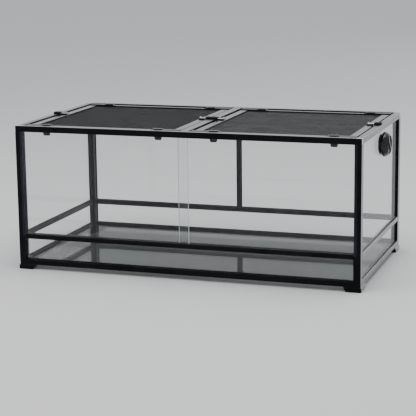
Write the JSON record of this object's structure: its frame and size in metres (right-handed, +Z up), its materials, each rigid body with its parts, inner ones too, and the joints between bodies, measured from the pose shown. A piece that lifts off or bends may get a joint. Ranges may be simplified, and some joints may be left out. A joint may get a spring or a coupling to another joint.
{
  "type": "glass animal enclosure",
  "caption": "Long low glass animal enclosure in a black frame with sliding front doors, lift-off mesh lids with turn knobs, corner feet and a round rotary side vent.",
  "frame": {"origin": "on the ground at the centre of the footprint of the corner feet", "axes": "+X along the length towards the vent side, -Y out of the sliding doors at the front, +Z up"},
  "size_m": [1.2348, 0.656, 0.5115],
  "materials": {
    "frame_black": "satin black",
    "jamb_grey": "satin dark blue grey",
    "track_black": "matte black",
    "clear_glass": "clear float glass with polished edges",
    "mesh_grey": "woven dark grey mesh",
    "knob_black": "satin black moulded plastic",
    "bolt_grey": "brushed",
    "vent_black": "gloss black",
    "dial_black": "gloss black"
  },
  "bodies": {
    "enclosure": {"foot_front_left": "frame_black", "foot_front_right": "frame_black", "foot_back_left": "frame_black", "foot_back_right": "frame_black", "bottom_rail_front": "frame_black", "bottom_rail_back": "frame_black", "bottom_rail_left": "frame_black", "bottom_rail_right": "frame_black", "floor_pane": "clear_glass", "post_front_left": "frame_black", "post_front_right": "frame_black", "post_back_left": "frame_black", "post_back_right": "frame_black", "jamb_left": "jamb_grey", "jamb_right": "jamb_grey", "mid_rail_front": "frame_black", "mid_rail_back": "frame_black", "mid_rail_left": "frame_black", "mid_rail_right": "frame_black", "lower_pane_front": "clear_glass", "lower_pane_back": "clear_glass", "lower_pane_left": "clear_glass", "lower_pane_right": "clear_glass", "door_track_lower": "track_black", "door_track_upper": "track_black", "side_pane_left": "clear_glass", "side_pane_right": "clear_glass", "back_pane_left": "clear_glass", "back_pane_right": "clear_glass", "post_back_centre": "frame_black", "top_corner_front_left": "frame_black", "top_corner_front_right": "frame_black", "top_corner_back_left": "frame_black", "top_corner_back_right": "frame_black", "top_rail_front": "frame_black", "top_rail_back": "frame_black", "top_rail_left": "frame_black", "top_rail_right": "frame_black", "crossbeam": "frame_black", "vent_body": "vent_black", "vent_nut": "vent_black"},
    "vent_shutter": {"vent_shutter": "dial_black"},
    "door_left": {"door_left": "clear_glass"},
    "door_right": {"door_right": "clear_glass"},
    "lid_left": {"lid_frame_left": "frame_black", "lid_mesh_left": "mesh_grey"},
    "knob_left_front_outer": {"knob_left_front_outer": "knob_black"},
    "knob_left_front_inner": {"knob_left_front_inner": "knob_black"},
    "knob_left_back_outer": {"knob_left_back_outer": "knob_black"},
    "knob_left_back_inner": {"knob_left_back_inner": "knob_black"},
    "bolt_left_outer": {"bolt_left_outer": "bolt_grey"},
    "bolt_left_inner": {"bolt_left_inner": "bolt_grey"},
    "lid_right": {"lid_frame_right": "frame_black", "lid_mesh_right": "mesh_grey"},
    "knob_right_front_outer": {"knob_right_front_outer": "knob_black"},
    "knob_right_front_inner": {"knob_right_front_inner": "knob_black"},
    "knob_right_back_outer": {"knob_right_back_outer": "knob_black"},
    "knob_right_back_inner": {"knob_right_back_inner": "knob_black"},
    "bolt_right_outer": {"bolt_right_outer": "bolt_grey"},
    "bolt_right_inner": {"bolt_right_inner": "bolt_grey"}
  },
  "joints": [
    {"name": "door_left_slide", "type": "slide", "parent": "enclosure", "child": "door_left", "axis": [1, 0, 0], "range_m": [0, 0.55]},
    {"name": "door_right_slide", "type": "slide", "parent": "enclosure", "child": "door_right", "axis": [1, 0, 0], "range_m": [-0.55, 0]},
    {"name": "vent_turn", "type": "hinge", "parent": "enclosure", "child": "vent_shutter", "pos_m": [0.601, 0.05, 0.43], "axis": [1, 0, 0], "range_deg": [0, 30]},
    {"name": "lid_left_lift", "type": "slide", "parent": "enclosure", "child": "lid_left", "axis": [0, 0, 1], "range_m": [0, 0.08]},
    {"name": "knob_left_front_outer_turn", "type": "hinge", "parent": "lid_left", "child": "knob_left_front_outer", "pos_m": [-0.507, -0.283, 0.4877], "axis": [0, 0, 1], "range_deg": [0, 90]},
    {"name": "knob_left_front_inner_turn", "type": "hinge", "parent": "lid_left", "child": "knob_left_front_inner", "pos_m": [-0.098, -0.283, 0.4877], "axis": [0, 0, 1], "range_deg": [0, 90]},
    {"name": "knob_left_back_outer_turn", "type": "hinge", "parent": "lid_left", "child": "knob_left_back_outer", "pos_m": [-0.507, 0.283, 0.4877], "axis": [0, 0, 1], "range_deg": [0, 90]},
    {"name": "knob_left_back_inner_turn", "type": "hinge", "parent": "lid_left", "child": "knob_left_back_inner", "pos_m": [-0.098, 0.283, 0.4877], "axis": [0, 0, 1], "range_deg": [0, 90]},
    {"name": "bolt_left_outer_slide", "type": "slide", "parent": "lid_left", "child": "bolt_left_outer", "axis": [-1, 0, 0], "range_m": [0, 0.007]},
    {"name": "bolt_left_inner_slide", "type": "slide", "parent": "lid_left", "child": "bolt_left_inner", "axis": [1, 0, 0], "range_m": [0, 0.007]},
    {"name": "lid_right_lift", "type": "slide", "parent": "enclosure", "child": "lid_right", "axis": [0, 0, 1], "range_m": [0, 0.08]},
    {"name": "knob_right_front_outer_turn", "type": "hinge", "parent": "lid_right", "child": "knob_right_front_outer", "pos_m": [0.507, -0.283, 0.4877], "axis": [0, 0, 1], "range_deg": [0, 90]},
    {"name": "knob_right_front_inner_turn", "type": "hinge", "parent": "lid_right", "child": "knob_right_front_inner", "pos_m": [0.098, -0.283, 0.4877], "axis": [0, 0, 1], "range_deg": [0, 90]},
    {"name": "knob_right_back_outer_turn", "type": "hinge", "parent": "lid_right", "child": "knob_right_back_outer", "pos_m": [0.507, 0.283, 0.4877], "axis": [0, 0, 1], "range_deg": [0, 90]},
    {"name": "knob_right_back_inner_turn", "type": "hinge", "parent": "lid_right", "child": "knob_right_back_inner", "pos_m": [0.098, 0.283, 0.4877], "axis": [0, 0, 1], "range_deg": [0, 90]},
    {"name": "bolt_right_outer_slide", "type": "slide", "parent": "lid_right", "child": "bolt_right_outer", "axis": [1, 0, 0], "range_m": [0, 0.007]},
    {"name": "bolt_right_inner_slide", "type": "slide", "parent": "lid_right", "child": "bolt_right_inner", "axis": [-1, 0, 0], "range_m": [0, 0.007]}
  ]
}
